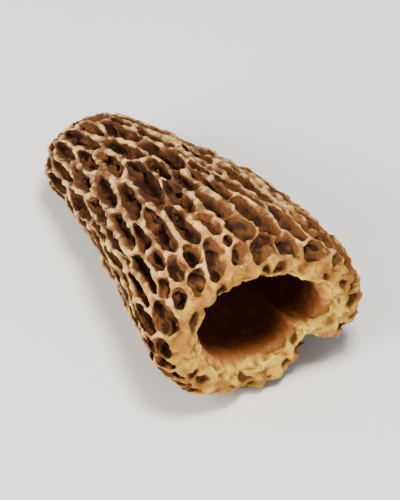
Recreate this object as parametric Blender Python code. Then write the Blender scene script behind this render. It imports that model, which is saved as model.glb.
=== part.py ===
"""A dried morel mushroom, trimmed where its stem began, lying on its side.

The morel grew as one piece, so it is one solid: a hollow cone of thin flesh whose
outside is a raised net of ridges round deep pits, and whose cut base is open.

It is first built about a straight axis, +X from the tip to the cut mouth, then
shrivelled out of round, and last laid down on the plane z = 0.
"""

import math
import random

import bmesh
import bpy
import numpy as np
from mathutils import Matrix, Vector, noise

SEED = 3

# Outline of the crests, tip to cut rim: distance along the axis and mean radius
CREST_OUTLINE = (
    (0.0000, 0.0000),
    (0.0005, 0.0025),
    (0.0018, 0.0046),
    (0.0045, 0.0063),
    (0.0090, 0.0073),
    (0.0153, 0.0084),
    (0.0240, 0.0103),
    (0.0330, 0.0117),
    (0.0400, 0.0123),
    (0.0442, 0.0119),
    (0.0456, 0.0109),
)
# Rings of the flesh from the cut rim into the hollow, up to its blind end
HOLLOW_OUTLINE = (
    (0.0461, 0.0090),
    (0.0460, 0.0080),
    (0.0454, 0.0072),
    (0.0441, 0.0069),
    (0.0415, 0.0071),
    (0.0370, 0.0077),
    (0.0310, 0.0072),
    (0.0240, 0.0055),
    (0.0160, 0.0037),
    (0.0105, 0.0024),
    (0.0085, 0.0012),
)
LENGTH = CREST_OUTLINE[-1][0]
STEPS_PER_SPAN = 24

# The net of pits: how close two pit centres come across the cap, and how long a pit is for its width
PIT_SPACING = 0.00182
PIT_SPACING_SPREAD = 0.5
TIP_PIT_SPACING = 0.00122
BASE_PIT_SPACING = 0.00172
PIT_STRETCH = 3.7
END_PIT_STRETCH = 1.15
TIP_ZONE = 0.013
BASE_ZONE = 0.012
CENTRES_TRIED = 9000
RIM_PITS = 22
RIM_PIT_HALF_LENGTH = 0.0010
RIM_PIT_SPREAD = 0.6
# Share of cross ridges left out, and how wide of its middle a joined pit's sides must stay
JOINED_SHARE = 0.5
CLEAR_OF_MIDDLE = 0.0006

# The ridges round each pit, and how deep it is: no more than a share of the way to the core line,
# which starts some way behind the tip
SHORTEST_RIDGE = 0.0006
PIT_DEPTH = 0.0026
PIT_DEPTH_SPREAD = 0.25
CORE_START = 0.0065
DEEPEST_SHARE = 0.22
DEEPEST_FOR_WIDTH = 2.2
RIDGE_HALF_WIDTH = 0.00062
RIDGE_WIDTH_SPREAD = 0.45
RIDGE_ROUNDING = 0.00028
FLOOR_LENGTH_SHARE = 0.88
FLOOR_WIDTH_SHARE = 0.66
FLOOR_DISH = 0.0003
LONG_EDGE = 0.0024
CREST_UNEVENNESS = 0.0005
RIDGE_WANDER = 0.0003
CROSS_RIDGE_SAG = 0.0008
RIM_NOTCH = 0.0010

# How drying has drawn it out of round
MOUTH_WIDENING = 0.17
CUT_SLANT = 0.15
LUMP = 0.035
PLEAT_ANGLE = math.radians(-65)
PLEAT_HALF_ANGLE = 0.18
PLEAT_DEPTH = 0.40
PLEAT_START = 0.6
PLEAT_LEAN = 0.75
GATHER_HALF_ANGLE = 0.6
GATHER = 0.6
RIM_WAVE = 0.0009
MOUTH_RIPPLE = 0.05
AXIS_BOW = 0.0016

# How it lies
PITCH = math.radians(7.0)
PRESSED_HEIGHT = 0.0015
PRESSED_SHARE = 0.35
FLAT_SPOT = 0.00022

FLESH_COLOUR = (0.33, 0.19, 0.09, 1.0)


def smooth_curve(points, steps):
    """Points of the Catmull-Rom curve through an outline, with that many steps a span."""
    p = np.array(points)
    ends = np.vstack([2 * p[0] - p[1], p, 2 * p[-1] - p[-2]])
    curve = []
    for a, b, c, d in zip(ends, ends[1:], ends[2:], ends[3:]):
        for u in np.arange(steps) / steps:
            cubic = 3 * b - a - 3 * c + d
            square = 2 * a - 5 * b + 4 * c - d
            curve.append(0.5 * (2 * b + (c - a) * u + square * u**2 + cubic * u**3))
    curve.append(p[-1])
    return np.array(curve)


def smooth_step(low, high, value):
    u = max(0.0, min(1.0, (value - low) / (high - low)))
    return u * u * (3 - 2 * u)


class Skin:
    """The smooth surface that the crests lie on, unrolled: s runs along the outline from the tip."""

    def __init__(self):
        curve = smooth_curve(CREST_OUTLINE, STEPS_PER_SPAN)
        self.along, self.radius = curve[:, 0], np.maximum(curve[:, 1], 1e-5)
        run = np.hypot(*np.diff(curve, axis=0).T)
        self.s = np.concatenate([[0], np.cumsum(run)])
        self.rim = self.s[-1]
        # A step along the outline, shortened by the stretch and over the radius, is the same
        # step on a ball that carries round pits where the cap has long ones.
        middle = (self.s[1:] + self.s[:-1]) / 2
        radius = (self.radius[1:] + self.radius[:-1]) / 2
        rise = run / (np.array([self.stretch(s) for s in middle]) * radius)
        self.climb = np.concatenate([[0], np.cumsum(rise)])
        self.climb -= (self.climb[4] + self.climb[-1]) / 2

    def near_end(self, s):
        """0 in the middle of the cap, rising to 1 at the tip and at the rim."""
        return max(0.0, 1 - s / TIP_ZONE), max(0.0, 1 - (self.rim - s) / BASE_ZONE)

    def stretch(self, s):
        return PIT_STRETCH + (END_PIT_STRETCH - PIT_STRETCH) * max(self.near_end(s))

    def spacing(self, s):
        tip, base = self.near_end(s)
        to_tip, to_base = TIP_PIT_SPACING - PIT_SPACING, BASE_PIT_SPACING - PIT_SPACING
        return PIT_SPACING + to_tip * tip + to_base * base

    def radius_at(self, s):
        return np.interp(s, self.s, self.radius)

    def on_ball(self, s, turn):
        """The point of a unit ball that stands for a point of the skin."""
        over = max(0.0, s - self.rim) / (END_PIT_STRETCH * self.radius[-1])
        height = math.tanh(-np.interp(s, self.s, self.climb) - over)
        ring = math.sqrt(1 - height * height)
        return Vector((ring * math.cos(turn), ring * math.sin(turn), height))

    def from_ball(self, point):
        """s and the turn of the skin's point that a point of the ball stands for."""
        climb = -math.atanh(max(-0.999999, min(0.999999, point.z)))
        return float(np.interp(climb, self.climb, self.s)), math.atan2(point.y, point.x)

    def place(self, s, turn):
        """The skin's point in space."""
        x, r = np.interp(s, self.s, self.along), self.radius_at(s)
        return Vector((x, r * math.cos(turn), r * math.sin(turn)))


def pit_centres(skin, rng):
    """Pit centres (s, turn): a ring along the rim, then chance ones that keep their distance."""
    centres = []
    for k in range(RIM_PITS):
        turn = (k + RIM_PIT_SPREAD * rng.random()) * math.tau / RIM_PITS
        centres.append((skin.rim - RIM_PIT_HALF_LENGTH, turn))
    for _ in range(CENTRES_TRIED):
        s, turn = skin.rim * rng.random(), math.tau * rng.random()
        if rng.random() > skin.radius_at(s) / skin.radius.max():
            continue
        if s > skin.rim - 2 * RIM_PIT_HALF_LENGTH:
            continue
        placed = np.array(centres)
        across = (skin.radius_at(placed[:, 0]) + skin.radius_at(s)) * np.sin((placed[:, 1] - turn) / 2)
        along = (placed[:, 0] - s) / skin.stretch(s)
        apart = skin.spacing(s) * (1 + PIT_SPACING_SPREAD * noise.noise(skin.place(s, turn) * 250))
        if np.hypot(across, along).min() > apart:
            centres.append((s, turn))
    return centres


def net_of_pits(skin, centres):
    """A mesh with one face for each pit. Its edges are where the ridges run.

    The hull of points on a ball joins each to its neighbours, and the middles of the
    hull's triangles are the corners of the cells round those points.
    """
    past_rim = [(skin.rim + RIM_PIT_HALF_LENGTH, turn) for _, turn in centres[:RIM_PITS]]
    ball = bmesh.new()
    points = [ball.verts.new(skin.on_ball(s, turn)) for s, turn in centres + past_rim]
    points.append(ball.verts.new((0, 0, -1)))
    ball.verts.index_update()
    bmesh.ops.convex_hull(ball, input=ball.verts)
    bmesh.ops.triangulate(ball, faces=ball.faces)
    ball.faces.sort(key=lambda f: f.calc_center_median().x)

    net = bmesh.new()
    corners = {}
    for triangle in ball.faces:
        kept = [centres[v.index] for v in triangle.verts if v.index < len(centres)]
        s, turn = skin.from_ball(triangle.calc_center_median().normalized())
        if len(kept) == 2:
            s, turn = skin.rim, kept[0][1] + math.remainder(kept[1][1] - kept[0][1], math.tau) / 2
        if len(kept) > 1:
            corners[triangle.index] = net.verts.new(skin.place(s, turn))
    for point in points[: len(centres)]:
        out = point.co.normalized()
        side = out.orthogonal().normalized()
        up = out.cross(side)

        def bearing(triangle):
            off = triangle.calc_center_median() - point.co
            return math.atan2(off.dot(up), off.dot(side))

        around = sorted(point.link_faces, key=bearing, reverse=True)
        net.faces.new([corners[f.index] for f in around if f.index in corners])
    ball.free()
    bmesh.ops.remove_doubles(net, verts=net.verts, dist=SHORTEST_RIDGE)
    return net


def put_in_order(net):
    """Numbers the parts of the net from the tip to the rim, so that chance falls on the same ones."""
    slant = Vector((1, 0.02, 0.003))
    net.verts.sort(key=lambda v: v.co.dot(slant))
    net.edges.sort(key=lambda e: (e.verts[0].co + e.verts[1].co).dot(slant))
    net.faces.sort(key=lambda f: f.calc_center_median().dot(slant))


def is_plump(corners):
    """Whether every side of an outline lies well clear of its middle, so that a pit in it is deep."""
    middle = sum(corners, Vector()) / len(corners)
    sides = [(a - middle, b - middle) for a, b in zip(corners, corners[1:] + corners[:1])]
    out = sum((a.cross(b) for a, b in sides), Vector()).normalized()
    return all(a.cross(b).dot(out) > CLEAR_OF_MIDDLE * (b - a).length for a, b in sides)


def join_pits(net, rng):
    """Takes out some of the cross ridges, so that two pits in line make one long furrow."""
    put_in_order(net)
    joined, removed = set(), []
    for e in net.edges:
        if e.is_boundary or abs((e.verts[1].co - e.verts[0].co).normalized().x) > 0.5:
            continue
        if not TIP_ZONE < e.verts[0].co.x < LENGTH - BASE_ZONE or joined.intersection(e.link_faces):
            continue
        outline = []
        for pit in e.link_faces:
            start = next(loop for loop in pit.loops if loop.edge is e).link_loop_next
            for _ in range(len(pit.verts) - 1):
                outline.append(start.vert.co.copy())
                start = start.link_loop_next
        if rng.random() < JOINED_SHARE and is_plump(outline):
            joined.update(e.link_faces)
            removed.append(e)
    bmesh.ops.dissolve_edges(net, edges=removed)


def vary_ridges(net, rng):
    """Makes the ridges wander and their crests uneven, lowers the cross ridges and notches the rim."""
    put_in_order(net)
    between = []
    for e in [e for e in net.edges if e.is_boundary or e.calc_length() > LONG_EDGE]:
        a, b = e.verts
        if e.is_boundary:
            drop = RIM_NOTCH * rng.random()
            third = bmesh.utils.edge_split(e, a, 1 / 3)[1]
            between += [(third, drop), (bmesh.utils.edge_split(e, third, 1 / 2)[1], drop)]
        else:
            crossing = 1 - abs((b.co - a.co).normalized().x)
            between.append((bmesh.utils.edge_split(e, a, 0.5)[1], CROSS_RIDGE_SAG * crossing))
    net.normal_update()
    normals = {v: v.normal.copy() for v in net.verts}
    for v in net.verts:
        at = v.co * 1000
        calm = smooth_step(-0.004, 0.012, v.co.x)
        v.co += normals[v] * CREST_UNEVENNESS * calm * noise.noise(at * 0.4)
        if not v.is_boundary:
            aside = [noise.noise(at * 0.5 + Vector((0, 0, step))) for step in (40, 80, 120)]
            v.co += RIDGE_WANDER * calm * Vector(aside)
    for v, drop in between:
        inward = Vector((0, -v.co.y, -v.co.z)).normalized() if v.is_boundary else -normals[v]
        v.co += inward * drop


def long_and_short_way(corners, out):
    """Directions of a pit's greatest and least width, from its corners about their middle."""
    side = out.orthogonal().normalized()
    up = out.cross(side)
    flat = [(c.dot(side), c.dot(up)) for c in corners]
    squares = sum(a * a - b * b for a, b in flat)
    lean = math.atan2(2 * sum(a * b for a, b in flat), squares) / 2
    along = side * math.cos(lean) + up * math.sin(lean)
    return along, out.cross(along)


def sink_pits(net, rng):
    """Presses each face of the net in between its ridges."""
    put_in_order(net)
    for pit in list(net.faces):
        middle = sum((v.co for v in pit.verts), Vector()) / len(pit.verts)
        out = pit.normal.copy()
        along, across = long_and_short_way([v.co - middle for v in pit.verts], out)
        length = max(abs((v.co - middle).dot(along)) for v in pit.verts)
        width = max(abs((v.co - middle).dot(across)) for v in pit.verts)
        sides = [[v.co - middle for v in e.verts] for e in pit.edges]
        waist = min(a.cross(b).length / (b - a).length for a, b in sides)
        base = smooth_step(LENGTH - 0.007, LENGTH - 0.001, middle.x)
        tip = smooth_step(0.005, 0, middle.x)
        ridge = RIDGE_HALF_WIDTH * (1 + RIDGE_WIDTH_SPREAD * (2 * rng.random() - 1)) * (1 - 0.25 * tip)
        depth = PIT_DEPTH * (1 + PIT_DEPTH_SPREAD * (2 * rng.random() - 1)) * (1 - 0.5 * base)
        core = Vector((max(middle.x, CORE_START), 0, 0))
        depth = min(depth, DEEPEST_FOR_WIDTH * waist, DEEPEST_SHARE * (middle - core).length)
        brim_length, brim_width = 1 - min(0.5, ridge / length), 1 - min(0.5, ridge / width)
        loops = (
            (brim_length, brim_width, RIDGE_ROUNDING),
            (brim_length * FLOOR_LENGTH_SHARE, brim_width * FLOOR_WIDTH_SHARE, depth),
        )
        corners = [v.co - middle for v in pit.verts]
        for long_share, wide_share, drop in loops:
            bmesh.ops.inset_individual(net, faces=[pit], thickness=0.0)
            for v, corner in zip(pit.verts, corners):
                shrunk = along * corner.dot(along) * long_share + across * corner.dot(across) * wide_share
                v.co = middle + shrunk + out * (corner.dot(out) * wide_share - drop)
        bmesh.ops.poke(net, faces=[pit], offset=-FLOOR_DISH)


def line_hollow(net):
    """Turns the rim inwards and runs the wall of the hollow up to its blind end."""
    edges = [e for e in net.edges if e.is_boundary]
    for x, r in HOLLOW_OUTLINE:
        made = bmesh.ops.extrude_edge_only(net, edges=edges)["geom"]
        edges = [g for g in made if isinstance(g, bmesh.types.BMEdge)]
        near = math.exp((x - HOLLOW_OUTLINE[0][0]) / 0.006)
        for v in (g for g in made if isinstance(g, bmesh.types.BMVert)):
            turn = math.atan2(v.co.z, v.co.y)
            spot = Vector((4.5 * math.cos(turn), 4.5 * math.sin(turn), 3))
            ripple = 1 + MOUTH_RIPPLE * near * noise.noise(spot)
            v.co = Vector((x, r * ripple * math.cos(turn), r * ripple * math.sin(turn)))
    end = bmesh.ops.holes_fill(net, edges=edges)["faces"]
    bmesh.ops.poke(net, faces=end)
    bmesh.ops.recalc_face_normals(net, faces=net.faces)


def shrivel(co):
    """Where drying has drawn a point of the round, straight morel."""
    u = max(0.0, co.x / LENGTH)
    turn, r = math.atan2(co.z, co.y), math.hypot(co.y, co.z)
    pleated = smooth_step(PLEAT_START, 1, u)
    off = math.remainder(turn - PLEAT_ANGLE, math.tau)
    turn -= GATHER * pleated * off * math.exp(-((off / GATHER_HALF_ANGLE) ** 2))
    off = math.remainder(turn - PLEAT_ANGLE, math.tau) / PLEAT_HALF_ANGLE
    r *= 1 - PLEAT_DEPTH * pleated * math.exp(-off * off)
    turn += PLEAT_LEAN * pleated * (1 - r / CREST_OUTLINE[-2][1])
    r *= 1 + LUMP * (math.sin(2 * turn + 0.9 + 3 * u) + 0.6 * math.sin(3 * turn - 1.3 + 5 * u))
    widening = 1 + MOUTH_WIDENING * u**1.5
    bow = AXIS_BOW * 4 * u * (1 - u)
    return Vector(
        (
            co.x + CUT_SLANT * u**4 * co.y + RIM_WAVE * u * u * math.sin(2 * turn + 0.4),
            r * math.cos(turn) * widening + bow,
            r * math.sin(turn) / widening + 0.6 * bow,
        )
    )


def lay_down(net):
    """Tips the morel on to its side, presses the lowest crests and centres it on z = 0."""
    bmesh.ops.transform(net, matrix=Matrix.Rotation(-PITCH, 4, "Y"), verts=net.verts)
    low = min(v.co.z for v in net.verts)
    for v in net.verts:
        height = v.co.z - low
        if height < PRESSED_HEIGHT:
            height = PRESSED_HEIGHT - (PRESSED_HEIGHT - height) * PRESSED_SHARE
        v.co.z = height
    floor = PRESSED_HEIGHT * (1 - PRESSED_SHARE) + FLAT_SPOT
    x = [v.co.x for v in net.verts]
    y = [v.co.y for v in net.verts]
    middle = Vector(((min(x) + max(x)) / 2, (min(y) + max(y)) / 2, floor))
    for v in net.verts:
        v.co.z = max(v.co.z, floor)
        v.co -= middle


def flesh():
    material = bpy.data.materials.new("dried_morel_flesh")
    material.use_nodes = True
    shader = material.node_tree.nodes["Principled BSDF"]
    shader.inputs["Base Color"].default_value = FLESH_COLOUR
    shader.inputs["Roughness"].default_value = 0.8
    shader.inputs["Metallic"].default_value = 0.0
    return material


def morel():
    rng = random.Random(SEED)
    skin = Skin()
    net = net_of_pits(skin, pit_centres(skin, rng))
    join_pits(net, rng)
    vary_ridges(net, rng)
    sink_pits(net, rng)
    line_hollow(net)
    for v in net.verts:
        v.co = shrivel(v.co)
    lay_down(net)
    bmesh.ops.triangulate(net, faces=net.faces)
    mesh = bpy.data.meshes.new("morel")
    net.to_mesh(mesh)
    net.free()
    mesh.shade_smooth()
    mesh.materials.append(flesh())
    piece = bpy.data.objects.new("morel", mesh)
    bpy.context.scene.collection.objects.link(piece)


for old in list(bpy.data.objects):
    bpy.data.objects.remove(old)
morel()
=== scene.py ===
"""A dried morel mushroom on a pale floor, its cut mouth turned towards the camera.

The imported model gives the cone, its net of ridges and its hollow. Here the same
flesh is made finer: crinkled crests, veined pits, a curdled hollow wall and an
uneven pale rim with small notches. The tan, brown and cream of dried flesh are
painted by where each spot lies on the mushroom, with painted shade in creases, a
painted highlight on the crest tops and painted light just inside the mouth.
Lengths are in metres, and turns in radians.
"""

import math

import bpy
import numpy as np
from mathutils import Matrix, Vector, kdtree, noise


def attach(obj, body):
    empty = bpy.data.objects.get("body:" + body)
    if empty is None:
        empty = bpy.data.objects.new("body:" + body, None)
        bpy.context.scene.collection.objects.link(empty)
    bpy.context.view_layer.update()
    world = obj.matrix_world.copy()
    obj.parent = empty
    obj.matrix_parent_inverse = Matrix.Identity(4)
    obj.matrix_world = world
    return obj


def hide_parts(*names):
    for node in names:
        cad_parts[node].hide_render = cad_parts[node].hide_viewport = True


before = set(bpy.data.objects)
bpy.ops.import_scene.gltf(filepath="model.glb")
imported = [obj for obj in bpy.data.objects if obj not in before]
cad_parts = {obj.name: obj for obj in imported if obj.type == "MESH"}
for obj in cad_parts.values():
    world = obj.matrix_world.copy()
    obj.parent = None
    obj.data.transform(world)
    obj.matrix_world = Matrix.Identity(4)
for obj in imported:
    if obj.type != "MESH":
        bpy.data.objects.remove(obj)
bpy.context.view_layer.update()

# Picture frame and how the camera stands
PICTURE_WIDTH = 400
PICTURE_HEIGHT = 500
AZIMUTH = math.radians(58)
ELEVATION = math.radians(43)
LENS = 300
SHARE_OF_WIDTH = 0.80

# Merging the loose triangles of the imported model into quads
SAME_PLACE = 1e-7
QUAD_FACE_ANGLE = math.radians(70)
QUAD_SHAPE_ANGLE = math.radians(90)
SUBDIVISIONS = 2

# Reach of the averages that tell crests from pits, in rounds over the finer mesh
NEAR_ROUNDS = 60
CREST_ROUNDS = 9
CREST_BLUR = 12
CREASE_ROUNDS = 14

# Depth below the crests where a ridge's side begins, and where a pit's floor lies
CREST_THICKNESS = 0.00008
PIT_FLOOR = 0.0010

# The slices that find the middle line, and the sectors that find the cut rim
STATIONS = 40
SLICE_HALF = 0.0022
SECTORS = 72
SECTOR_HALF = 0.12

# The cut face, and how far the pale cut flesh reaches down into the mouth
FACE_DEPTH = 0.0012
FACE_BLEND = 0.0009
LIP_DEPTH = 0.0020
LIP_BLEND = 0.0007
RAGGED_EDGE = 0.0006

# Small dark notches in the cut face, where pits were cut across
NOTCHES = 19
NOTCH_WIDTH = 0.0012
NOTCH_DEPTH = 0.0010
NOTCH_BAND = 0.0013
NOTCH_SECTOR_HALF = 0.10
NOTCH_SHIFT = 0.1
NOTCH_EDGE = 0.0002

# How much the lip is opened all round, how much more on the right, and how far the
# lip and its notches may move, as a share of the flesh's thickness
OPENING = 0.00050
RIGHT_OPENING = 0.00040
THICKNESS_SHARE = 0.25

# Distances from the rim where the tip begins and is full, and where dimples fade
TIP_BEGINS = 0.022
TIP_FULL = 0.036
DIMPLES_FADE = 0.004
DIMPLES_FAINT = 0.009

# Sizes of the lumps in the noise behind the fine relief
CRINKLE_SIZE = 0.0011
FURROW_SIZE = 0.0007
CURD_SIZE = 0.0009
SWELL_SIZE = 0.0024
WANDER_SIZE = 0.0020
VEIN_SIZE = 0.0014
VEIN_PATCH_SIZE = 0.0045
PORE_SIZE = 0.0013
DIMPLE_SIZE = 0.0012
SCALLOP_SIZE = 0.0019
RAGGED_SIZE = 0.0022
NOTCH_EDGE_SIZE = 0.0008

# Heights of the fine relief
CREST_CRINKLE = 0.00024
CREST_CURD = 0.00014
SIDE_SLIMMING = 0.00015
DIMPLE_DEPTH = 0.00045
SCALLOP_HEIGHT = 0.00060
PIT_FURROW = 0.00026
PIT_SWELL = 0.00020
PIT_LOWERING = 0.00025
VEIN_HEIGHT = 0.00062
TIP_VEIN_EXTRA = 0.00020
STRONG_VEIN_EXTRA = 0.00050
CUT_CURD = 0.00022
CUT_SWELL = 0.00030
PORE_DEPTH = 0.00030
WALL_CURD = 0.00014
WALL_SWELL = 0.00010
WALL_LOWERING = 0.00005
SKIN_WANDER = 0.00022
CUT_WANDER = 0.00040
GRAIN_DEPTH = 0.0004

# Depth at which a crease is painted as 1 in the mask of painted crease shade, and the
# distance from the rim painted so
CREASE_DEPTH = 0.00012
PAINTED_LENGTH = 0.047


def srgb(red, green, blue):
    """A colour as a picture shows it, 0 to 255, as the shader needs it."""
    parts = []
    for part in (red, green, blue):
        part = part / 255
        parts.append(part / 12.92 if part <= 0.04045 else ((part + 0.055) / 1.055) ** 2.4)
    return (*parts, 1.0)


# Dried flesh outside: crests, ridges, their slopes and the pits' floors
# The palest crest colour: the crests' paler flesh with a painted highlight on their tops
CREST_PALE_AND_HIGHLIGHT = srgb(244, 196, 126)
CREST_PALE = srgb(138, 94, 54)
CREST_BROWN = srgb(98, 62, 36)
TIP_GREY = srgb(132, 102, 76)
GOLD_PALE = srgb(200, 142, 60)
GOLD_BROWN = srgb(146, 94, 32)
SLOPE_BROWN = srgb(98, 54, 17)
SLOPE_GOLD = srgb(112, 66, 24)
# The darkest pit colours, laid only in creases: dark brown flesh deepened by painted shade
PIT_DARK = srgb(54, 24, 4)
PIT_RED = srgb(56, 25, 5)

# The cut rim and the wall of the hollow
CREAM = srgb(255, 208, 84)
CREAM_DEEP = srgb(170, 114, 34)
# Brown for the cut rim's creases is painted shade
CREAM_CREASE_SHADE = srgb(104, 56, 20)
HOLLOW_DARK = srgb(102, 54, 26)
HOLLOW_BROWN = srgb(134, 74, 34)
# Orange just behind the rim is painted light, where light falls into the mouth
HOLLOW_LIT_ORANGE = srgb(172, 96, 40)

# The floor, in the shader's own terms
FLOOR_GREY = (0.86, 0.85, 0.83, 1)
FLOOR_WHITE = (0.89, 0.88, 0.86, 1)


def smooth_step(low, high, values):
    """0 below low, 1 above high, and a soft change between."""
    t = np.clip((np.asarray(values, float) - low) / (high - low), 0, 1)
    return t * t * (3 - 2 * t)


def unit(vectors):
    """The same directions, each one long."""
    return vectors / np.maximum(np.linalg.norm(vectors, axis=1), 1e-12)[:, None]


def apart(angles, at):
    """How far each angle is from another, the short way round."""
    return np.abs(np.angle(np.exp(1j * (angles - at))))


def lumps(places, size, octave_count):
    """Repeatable noise at each place, about -1 to 1, with lumps of that size."""
    values = np.zeros(len(places))
    for octave in range(octave_count):
        scale = 2**octave / size
        offset = Vector((17.3 * (octave + 1), 0, 0))
        values += [
            noise.noise(Vector((x, y, z)) * scale + offset) / 1.6**octave
            for x, y, z in places
        ]
    return values


class Value:
    """A number, colour or vector in a material; arithmetic on it adds nodes."""

    def __init__(self, finish, socket):
        self.finish = finish
        self.socket = socket

    def _math(self, operation, first, second):
        return self.finish.node(
            "ShaderNodeMath", {"operation": operation}, {0: first, 1: second}
        )

    def __add__(self, other):
        return self._math("ADD", self, other)

    def __radd__(self, other):
        return self._math("ADD", other, self)

    def __sub__(self, other):
        return self._math("SUBTRACT", self, other)

    def __rsub__(self, other):
        return self._math("SUBTRACT", other, self)

    def __mul__(self, other):
        return self._math("MULTIPLY", self, other)

    def __rmul__(self, other):
        return self._math("MULTIPLY", other, self)


class Finish:
    """A material under construction, with its node tree and its shader."""

    def __init__(self, name):
        self.material = bpy.data.materials.new(name)
        self.material.use_nodes = True
        self.tree = self.material.node_tree
        self.shader = self.tree.nodes["Principled BSDF"]

    def node(self, kind, settings, inputs, output=0):
        """Adds a node: its settings first, then values or links for its sockets."""
        made = self.tree.nodes.new(kind)
        for name, setting in settings.items():
            setattr(made, name, setting)
        for key, given in inputs.items():
            if isinstance(given, Value):
                self.tree.links.new(given.socket, made.inputs[key])
            else:
                made.inputs[key].default_value = given
        return Value(self, made.outputs[output])

    def attribute(self, name):
        """A number painted on the piece's own vertices."""
        return self.node("ShaderNodeAttribute", {"attribute_name": name}, {}, "Fac")

    def cloud(self, scale, detail, roughness=0.55):
        """Soft noise, 0 to 1, with that many lumps to the metre."""
        place = self.node("ShaderNodeTexCoord", {}, {}, "Object")
        return self.node(
            "ShaderNodeTexNoise",
            {},
            {"Vector": place, "Scale": scale, "Detail": detail, "Roughness": roughness},
            "Fac",
        )

    def between(self, value, low, high, to_low=0.0, to_high=1.0):
        """The value's range low to high spread softly over another range."""
        return self.node(
            "ShaderNodeMapRange",
            {"interpolation_type": "SMOOTHSTEP"},
            {
                "Value": value,
                "From Min": low,
                "From Max": high,
                "To Min": to_low,
                "To Max": to_high,
            },
        )

    def mixed(self, share, first, second):
        """Two colours mixed, with that share of the second."""
        return self.node(
            "ShaderNodeMix", {"data_type": "RGBA"}, {0: share, 6: first, 7: second}, 2
        )

    def feed(self, socket, value):
        """Links a value to a socket of the shader."""
        self.tree.links.new(value.socket, self.shader.inputs[socket])


class Flesh:
    """The vertices of the finer copy, as arrays that can be averaged and moved."""

    def __init__(self, piece):
        self.mesh = piece.data
        self.count = len(self.mesh.vertices)
        edges = np.empty(2 * len(self.mesh.edges), np.int32)
        self.mesh.edges.foreach_get("vertices", edges)
        self.edges = edges.reshape(-1, 2)
        self.neighbours = np.bincount(edges, minlength=self.count)
        self.places = self.vectors(self.mesh.vertices, "co")
        self.normals = self.vectors(self.mesh.vertex_normals, "vector")

    def vectors(self, values, name):
        """One vector for each vertex, read from the mesh."""
        flat = np.empty(3 * self.count, np.float32)
        values.foreach_get(name, flat)
        return flat.reshape(-1, 3).astype(float)

    def averaged(self, values, rounds):
        """Each vertex's values shared with its neighbours that many times."""
        values = np.array(values, float).reshape(self.count, -1)
        first, second = self.edges.T
        for _ in range(rounds):
            shared = np.empty_like(values)
            for column in range(values.shape[1]):
                one = np.bincount(first, values[second, column], self.count)
                other = np.bincount(second, values[first, column], self.count)
                shared[:, column] = (one + other) / self.neighbours
            values = (values + shared) / 2
        return values

    def highest_near(self, values, rounds):
        """The greatest value within that many edges of each vertex."""
        first, second = self.edges.T
        for _ in range(rounds):
            greatest = values.copy()
            np.maximum.at(greatest, first, values[second])
            np.maximum.at(greatest, second, values[first])
            values = greatest
        return values

    def lumps(self, size, octave_count, stretch=1.0, offset=0.0):
        """Noise over the flesh, drawn out along the cone by a stretch below 1."""
        places = self.places * np.array((stretch, 1, 1)) + offset
        return lumps(places, size, octave_count)

    def move(self, outwards, sideways):
        """Moves each vertex along its normal and by its own step, but not below the floor."""
        self.places += self.normals * outwards[:, None] + sideways
        self.places[:, 2] = np.maximum(self.places[:, 2], 0)
        self.mesh.vertices.foreach_set("co", self.places.astype(np.float32).ravel())
        self.mesh.update()
        self.normals = self.vectors(self.mesh.vertex_normals, "vector")

    def paint(self, name, values, rounds=0):
        """Keeps values, averaged over some rounds, for the material to read."""
        layer = self.mesh.attributes.new(name, "FLOAT", "POINT")
        smoothed = self.averaged(values, rounds)[:, 0]
        layer.data.foreach_set("value", smoothed.astype(np.float32))


def select_only(piece):
    """Leaves one piece selected and active."""
    bpy.ops.object.select_all(action="DESELECT")
    piece.select_set(True)
    bpy.context.view_layer.objects.active = piece


def finer_copy(node, name):
    """A smooth copy of a CAD node, merged, turned to quads and subdivided."""
    piece = bpy.data.objects.new(name, node.data.copy())
    bpy.context.scene.collection.objects.link(piece)
    select_only(piece)
    bpy.ops.object.mode_set(mode="EDIT")
    bpy.ops.mesh.select_all(action="SELECT")
    bpy.ops.mesh.remove_doubles(threshold=SAME_PLACE)
    bpy.ops.mesh.tris_convert_to_quads(
        face_threshold=QUAD_FACE_ANGLE, shape_threshold=QUAD_SHAPE_ANGLE
    )
    bpy.ops.object.mode_set(mode="OBJECT")
    bpy.ops.object.modifier_add(type="SUBSURF")
    piece.modifiers[-1].levels = SUBDIVISIONS
    piece.modifiers[-1].render_levels = SUBDIVISIONS
    bpy.ops.object.modifier_apply(modifier=piece.modifiers[-1].name)
    bpy.ops.object.shade_smooth()
    return piece


# The flesh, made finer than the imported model
morel = finer_copy(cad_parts["morel"], "dried_morel")
flesh = Flesh(morel)

# How far each spot lies below the crests round it
mean_normals = unit(flesh.averaged(flesh.normals, NEAR_ROUNDS))
mean_places = flesh.averaged(flesh.places, NEAR_ROUNDS)
height = np.sum((flesh.places - mean_places) * mean_normals, axis=1)
crest_height = flesh.averaged(flesh.highest_near(height, CREST_ROUNDS), CREST_BLUR)[:, 0]
sunk = smooth_step(CREST_THICKNESS, PIT_FLOOR, crest_height - height)

# The middle line of the cone, and each spot's distance from it and turn about it
along = flesh.places[:, 0]
stations = np.linspace(along.min(), along.max(), STATIONS)
slices = np.array(
    [flesh.places[np.abs(along - at) < SLICE_HALF].mean(axis=0) for at in stations]
)
middle = np.stack([np.interp(along, stations, slices[:, k]) for k in range(3)], 1)
away = flesh.places - middle
away[:, 0] = 0
radius = np.linalg.norm(away, axis=1)
turn_about = np.arctan2(away[:, 2], away[:, 1])

# How far each spot is from the cut rim on its own side of the mouth
sectors = np.linspace(-math.pi, math.pi, SECTORS + 1)
rim = [np.percentile(along[apart(turn_about, at) < SECTOR_HALF], 99.5) for at in sectors]
from_rim = np.interp(turn_about, sectors, rim) - along

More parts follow.
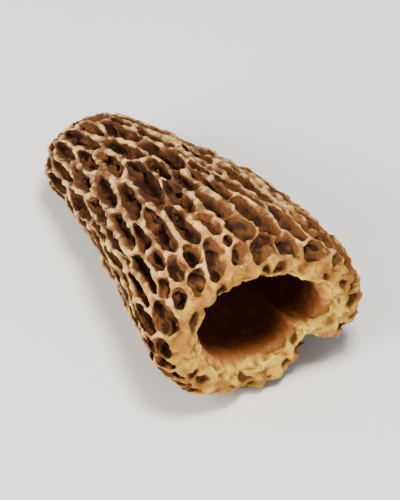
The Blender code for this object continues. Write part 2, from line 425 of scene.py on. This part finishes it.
# Which flesh is hollow wall, cut rim or outer skin, and which of that is a crest
facing_out = np.sum(unit(away) * mean_normals, axis=1)
facing_mouth = mean_normals[:, 0]
inside = 1 - smooth_step(-0.4, 0.2, facing_out)
torn_rim = from_rim + RAGGED_EDGE * flesh.lumps(RAGGED_SIZE, 2)
on_face = 1 - smooth_step(FACE_DEPTH, FACE_DEPTH + FACE_BLEND, torn_rim)
on_lip = inside * (1 - smooth_step(LIP_DEPTH, LIP_DEPTH + LIP_BLEND, torn_rim))
cut = np.maximum(on_face * smooth_step(0.10, 0.5, facing_mouth), on_lip)
wall = inside * (1 - cut)
outside = (1 - inside) * (1 - cut)
crest = outside * (1 - sunk)

# Small notches in the cut face, nearer its outer edge, and not all of one size
rng = np.random.default_rng(4)
turns = np.linspace(-math.pi, math.pi, NOTCHES, endpoint=False)
face = (from_rim < NOTCH_BAND) & (facing_mouth > 0.2)
notched = np.zeros(flesh.count)
for at in turns + rng.uniform(-NOTCH_SHIFT, NOTCH_SHIFT, NOTCHES):
    band = np.flatnonzero(face & (apart(turn_about, at) < NOTCH_SECTOR_HALF))
    wanted = np.percentile(radius[band], rng.uniform(45, 75))
    centre = flesh.places[band[np.argmin(np.abs(radius[band] - wanted))]]
    reach = np.linalg.norm(flesh.places - centre, axis=1)
    reach += NOTCH_EDGE * flesh.lumps(NOTCH_EDGE_SIZE, 1)
    width = NOTCH_WIDTH * rng.uniform(0.65, 1.0)
    notched = np.maximum(notched, 1 - smooth_step(0.3 * width, width, reach))

# Noise of several sizes, for crinkled crests and furrowed, lumpy and wavy flesh
crinkle = flesh.lumps(CRINKLE_SIZE, 3)
furrow = flesh.lumps(FURROW_SIZE, 2, stretch=0.35)
curd = flesh.lumps(CURD_SIZE, 2)
swell = flesh.lumps(SWELL_SIZE, 1)
wander = np.stack(
    [flesh.lumps(WANDER_SIZE, 2, offset=shift) for shift in (0.1, 0.2, 0.3)], 1
)

# Veins in the pits, stronger in patches and at the tip, and pores in the cut flesh
near_tip = smooth_step(TIP_BEGINS, TIP_FULL, from_rim)
veins = smooth_step(0.80, 1.0, 1 - np.abs(flesh.lumps(VEIN_SIZE, 1, stretch=0.55)))
strong = smooth_step(-0.1, 0.3, flesh.lumps(VEIN_PATCH_SIZE, 1, offset=1.3))
pores = smooth_step(0.35, 0.65, flesh.lumps(PORE_SIZE, 1, offset=0.4))

# Dimples in the crests, deepest near the rim, and the ridges' sides
dimples = crest * smooth_step(0.20, 0.45, flesh.lumps(DIMPLE_SIZE, 1, offset=0.7))
dimples *= 1 - 0.7 * smooth_step(DIMPLES_FADE, DIMPLES_FAINT, from_rim)
sides = smooth_step(0.02, 0.25, sunk) * (1 - smooth_step(0.6, 1.0, sunk))

# How thick the flesh is behind the lip
outer_skin = np.flatnonzero(outside > 0.5)
nearest = kdtree.KDTree(len(outer_skin))
for k in outer_skin:
    nearest.insert(flesh.places[k], k)
nearest.balance()
lip = np.flatnonzero(on_lip > 0.02)
thickness = np.zeros(flesh.count)
thickness[lip] = [nearest.find(flesh.places[k])[2] for k in lip]

# The lip is scalloped and opened a little, most on the right, and least where thin
right_side = smooth_step(-0.2, 0.8, away[:, 1] / np.maximum(radius, 1e-6))
opening = OPENING + RIGHT_OPENING * right_side
opened = on_lip * np.minimum(opening, THICKNESS_SHARE * thickness)
scallops = on_lip * flesh.lumps(SCALLOP_SIZE, 1, stretch=0.4, offset=0.9)
notch_push = NOTCH_DEPTH * notched
notch_push[lip] = np.minimum(notch_push[lip], THICKNESS_SHARE * thickness[lip])

# All of the relief at once, outwards from the flesh and a little sideways
vein_height = VEIN_HEIGHT + TIP_VEIN_EXTRA * near_tip + STRONG_VEIN_EXTRA * strong
pit_relief = PIT_FURROW * furrow + PIT_SWELL * swell + vein_height * veins - PIT_LOWERING
outwards = (
    crest * (CREST_CRINKLE * crinkle + CREST_CURD * curd)
    + outside * sunk * pit_relief
    + cut * (CUT_CURD * curd + CUT_SWELL * swell - PORE_DEPTH * pores)
    + wall * (WALL_CURD * np.abs(curd) + WALL_SWELL * swell - WALL_LOWERING)
    - SIDE_SLIMMING * outside * sides
    - DIMPLE_DEPTH * dimples
    + SCALLOP_HEIGHT * scallops
    - opened
    - notch_push
)
flesh.move(outwards, (SKIN_WANDER * outside + CUT_WANDER * cut)[:, None] * wander)

# What the material reads: a vein is painted higher up than the pit that it crosses
vein_share = 0.55 + 0.37 * np.maximum(strong, 0.4 * near_tip)
# The crease mask is painted shade: concave spots darken as if shade gathered there
hollows = flesh.averaged(flesh.places, CREASE_ROUNDS) - flesh.places
painted_crease_shade = smooth_step(0, CREASE_DEPTH, np.sum(hollows * flesh.normals, axis=1))
flesh.paint("sunk", sunk * (1 - vein_share * veins) + 0.26 * dimples, 1)
flesh.paint("painted_crease_shade", painted_crease_shade, 1)
flesh.paint("raised", np.clip(0.5 + 0.35 * (crest * crinkle + (cut + wall) * curd), 0, 1))
flesh.paint("cut", cut, 2)
flesh.paint("lip", on_lip, 3)
flesh.paint("notched", notched, 1)
flesh.paint("wall", wall, 3)
flesh.paint("from_rim", np.clip(from_rim / PAINTED_LENGTH, 0, 1))

# Dried flesh: what was painted on it, and soft stains, specks and mottling
dried = Finish("dried_morel_flesh")
sunk_in = dried.attribute("sunk")
crease_shade_mask = dried.attribute("painted_crease_shade")
raised = dried.attribute("raised")
rim_distance = dried.attribute("from_rim")
patches = dried.cloud(130, 3)
stains = dried.cloud(420, 3, 0.6)
specks = dried.cloud(1500, 4, 0.65)
mottle = 0.25 * (specks - 0.5) + 0.35 * (dried.cloud(750, 2) - 0.5)
towards_rim = dried.between(rim_distance + 0.25 * patches, 0.52, 0.20)

# Ridges: brown, golden towards the rim, greyer at the tip, and pale on their crests, where
# the paler flesh also carries a painted highlight
stained = dried.between(stains, 0.35, 0.65)
tan = dried.mixed(stained, CREST_PALE, CREST_BROWN)
golden = dried.mixed(stained, GOLD_PALE, GOLD_BROWN)
ridge = dried.mixed(towards_rim, tan, golden)
ridge = dried.mixed(dried.between(rim_distance, 0.6, 0.95, 0.0, 0.6), ridge, TIP_GREY)
pale_and_highlight_top = dried.between(sunk_in + 0.5 * mottle, 0.12, 0.0)
ridge = dried.mixed(pale_and_highlight_top * dried.between(raised, 0.35, 0.68), ridge, CREST_PALE_AND_HIGHLIGHT)

# Pits: brown slopes, and floors darkened with painted shade only where they are creased
slope = dried.mixed(towards_rim, SLOPE_BROWN, SLOPE_GOLD)
pit_floor = dried.mixed(towards_rim, PIT_DARK, PIT_RED)
open_floor = dried.between(0.8 * crease_shade_mask - mottle, 0.10, 0.75, 0.85, 0.0)
pit_floor = dried.mixed(open_floor, pit_floor, slope)
down_slope = dried.between(sunk_in + mottle + 0.15 * crease_shade_mask, 0.03, 0.24)
on_floor = dried.between(sunk_in + mottle, 0.26, 0.66)
skin = dried.mixed(down_slope, ridge, slope)
skin = dried.mixed(on_floor, skin, pit_floor)

# Cut rim: cream, deeper in colour where it is low, brown painted shade in its creases, and
# brown in notches
paleness = 0.5 * raised + 0.2 * dried.attribute("lip") + 0.6 * stains
cream = dried.mixed(dried.between(paleness, 0.46, 0.90), CREAM_DEEP, CREAM)
cream = dried.mixed(0.85 * crease_shade_mask, cream, CREAM_CREASE_SHADE)
in_notch = dried.between(dried.attribute("notched"), 0.15, 0.7)
cream = dried.mixed(in_notch, cream, SLOPE_BROWN)
skin = dried.mixed(dried.attribute("cut"), skin, cream)

# Hollow: brown, and a painted light of orange just behind the rim, where light falls into the
# mouth
inner = dried.mixed(dried.between(raised + mottle, 0.4, 0.75), HOLLOW_DARK, HOLLOW_BROWN)
inner = dried.mixed(dried.between(rim_distance, 0.12, 0.045), inner, HOLLOW_LIT_ORANGE)
skin = dried.mixed(dried.attribute("wall"), skin, inner)

# Dull surface with a fine grain
grain = dried.cloud(3000, 4, 0.6)
relief = dried.node(
    "ShaderNodeBump",
    {},
    {"Strength": 0.8, "Distance": GRAIN_DEPTH, "Height": grain + specks},
    "Normal",
)
dried.feed("Base Color", skin)
dried.feed("Roughness", dried.between(specks, 0.3, 0.7, 0.55, 0.8))
dried.feed("Normal", relief)
dried.shader.inputs["Specular IOR Level"].default_value = 0.3

morel.data.materials.clear()
morel.data.materials.append(dried.material)
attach(morel, "root")
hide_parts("morel")

# Pale floor
bpy.ops.object.select_all(action="DESELECT")
bpy.ops.mesh.primitive_plane_add(size=3.0, location=(0, 0, 0))
floor = bpy.context.active_object
floor.name = "pale_floor"
pale = Finish("pale_floor")
pale.feed("Base Color", pale.mixed(pale.cloud(40, 2), FLOOR_GREY, FLOOR_WHITE))
pale.shader.inputs["Roughness"].default_value = 0.9
floor.data.materials.append(pale.material)


def soft_light(name, place, size, power, colour):
    """A square soft light at a place, turned to the morel."""
    lamp = bpy.data.lights.new(name, "AREA")
    lamp.energy = power
    lamp.size = size
    lamp.color = colour
    stand = bpy.data.objects.new(name, lamp)
    stand.location = place
    stand.rotation_euler = (-Vector(place)).to_track_quat("-Z", "Y").to_euler()
    bpy.context.scene.collection.objects.link(stand)


# Warm light from above and from the left, a little from the right, and a soft room
soft_light("overhead_light", (0.08, 0.02, 0.42), 0.12, 2.5, (1.0, 0.95, 0.88))
soft_light("left_light", (0.02, -0.38, 0.22), 0.20, 2.7, (1.0, 0.96, 0.90))
soft_light("right_light", (0.42, 0.02, 0.16), 0.24, 0.30, (1.0, 0.97, 0.92))

room = bpy.data.worlds.new("soft_room")
room.use_nodes = True
room.node_tree.nodes["Background"].inputs["Color"].default_value = (0.9, 0.93, 1.0, 1)
room.node_tree.nodes["Background"].inputs["Strength"].default_value = 0.36
bpy.context.scene.world = room

# The camera, far off behind a long lens, with the morel in the middle of the picture
back = Vector(
    (
        math.sin(AZIMUTH) * math.cos(ELEVATION),
        -math.cos(AZIMUTH) * math.cos(ELEVATION),
        math.sin(ELEVATION),
    )
)
turn = back.to_track_quat("Z", "Y")
right = turn @ Vector((1, 0, 0))
up = turn @ Vector((0, 1, 0))
across = flesh.places @ np.array(right)
upwards = flesh.places @ np.array(up)
aim = (
    right * (across.max() + across.min()) / 2
    + up * (upwards.max() + upwards.min()) / 2
    + back * float(np.mean(flesh.places @ np.array(back)))
)
view = bpy.data.cameras.new("camera")
view.lens = LENS
view.clip_start = 0.01
view.clip_end = 10
half_width = (across.max() - across.min()) / 2
half_sensor = view.sensor_width / 2 * PICTURE_WIDTH / PICTURE_HEIGHT
distance = half_width / SHARE_OF_WIDTH * LENS / half_sensor
camera = bpy.data.objects.new("camera", view)
camera.location = aim + back * distance
camera.rotation_euler = turn.to_euler()
bpy.context.scene.collection.objects.link(camera)
bpy.context.scene.camera = camera
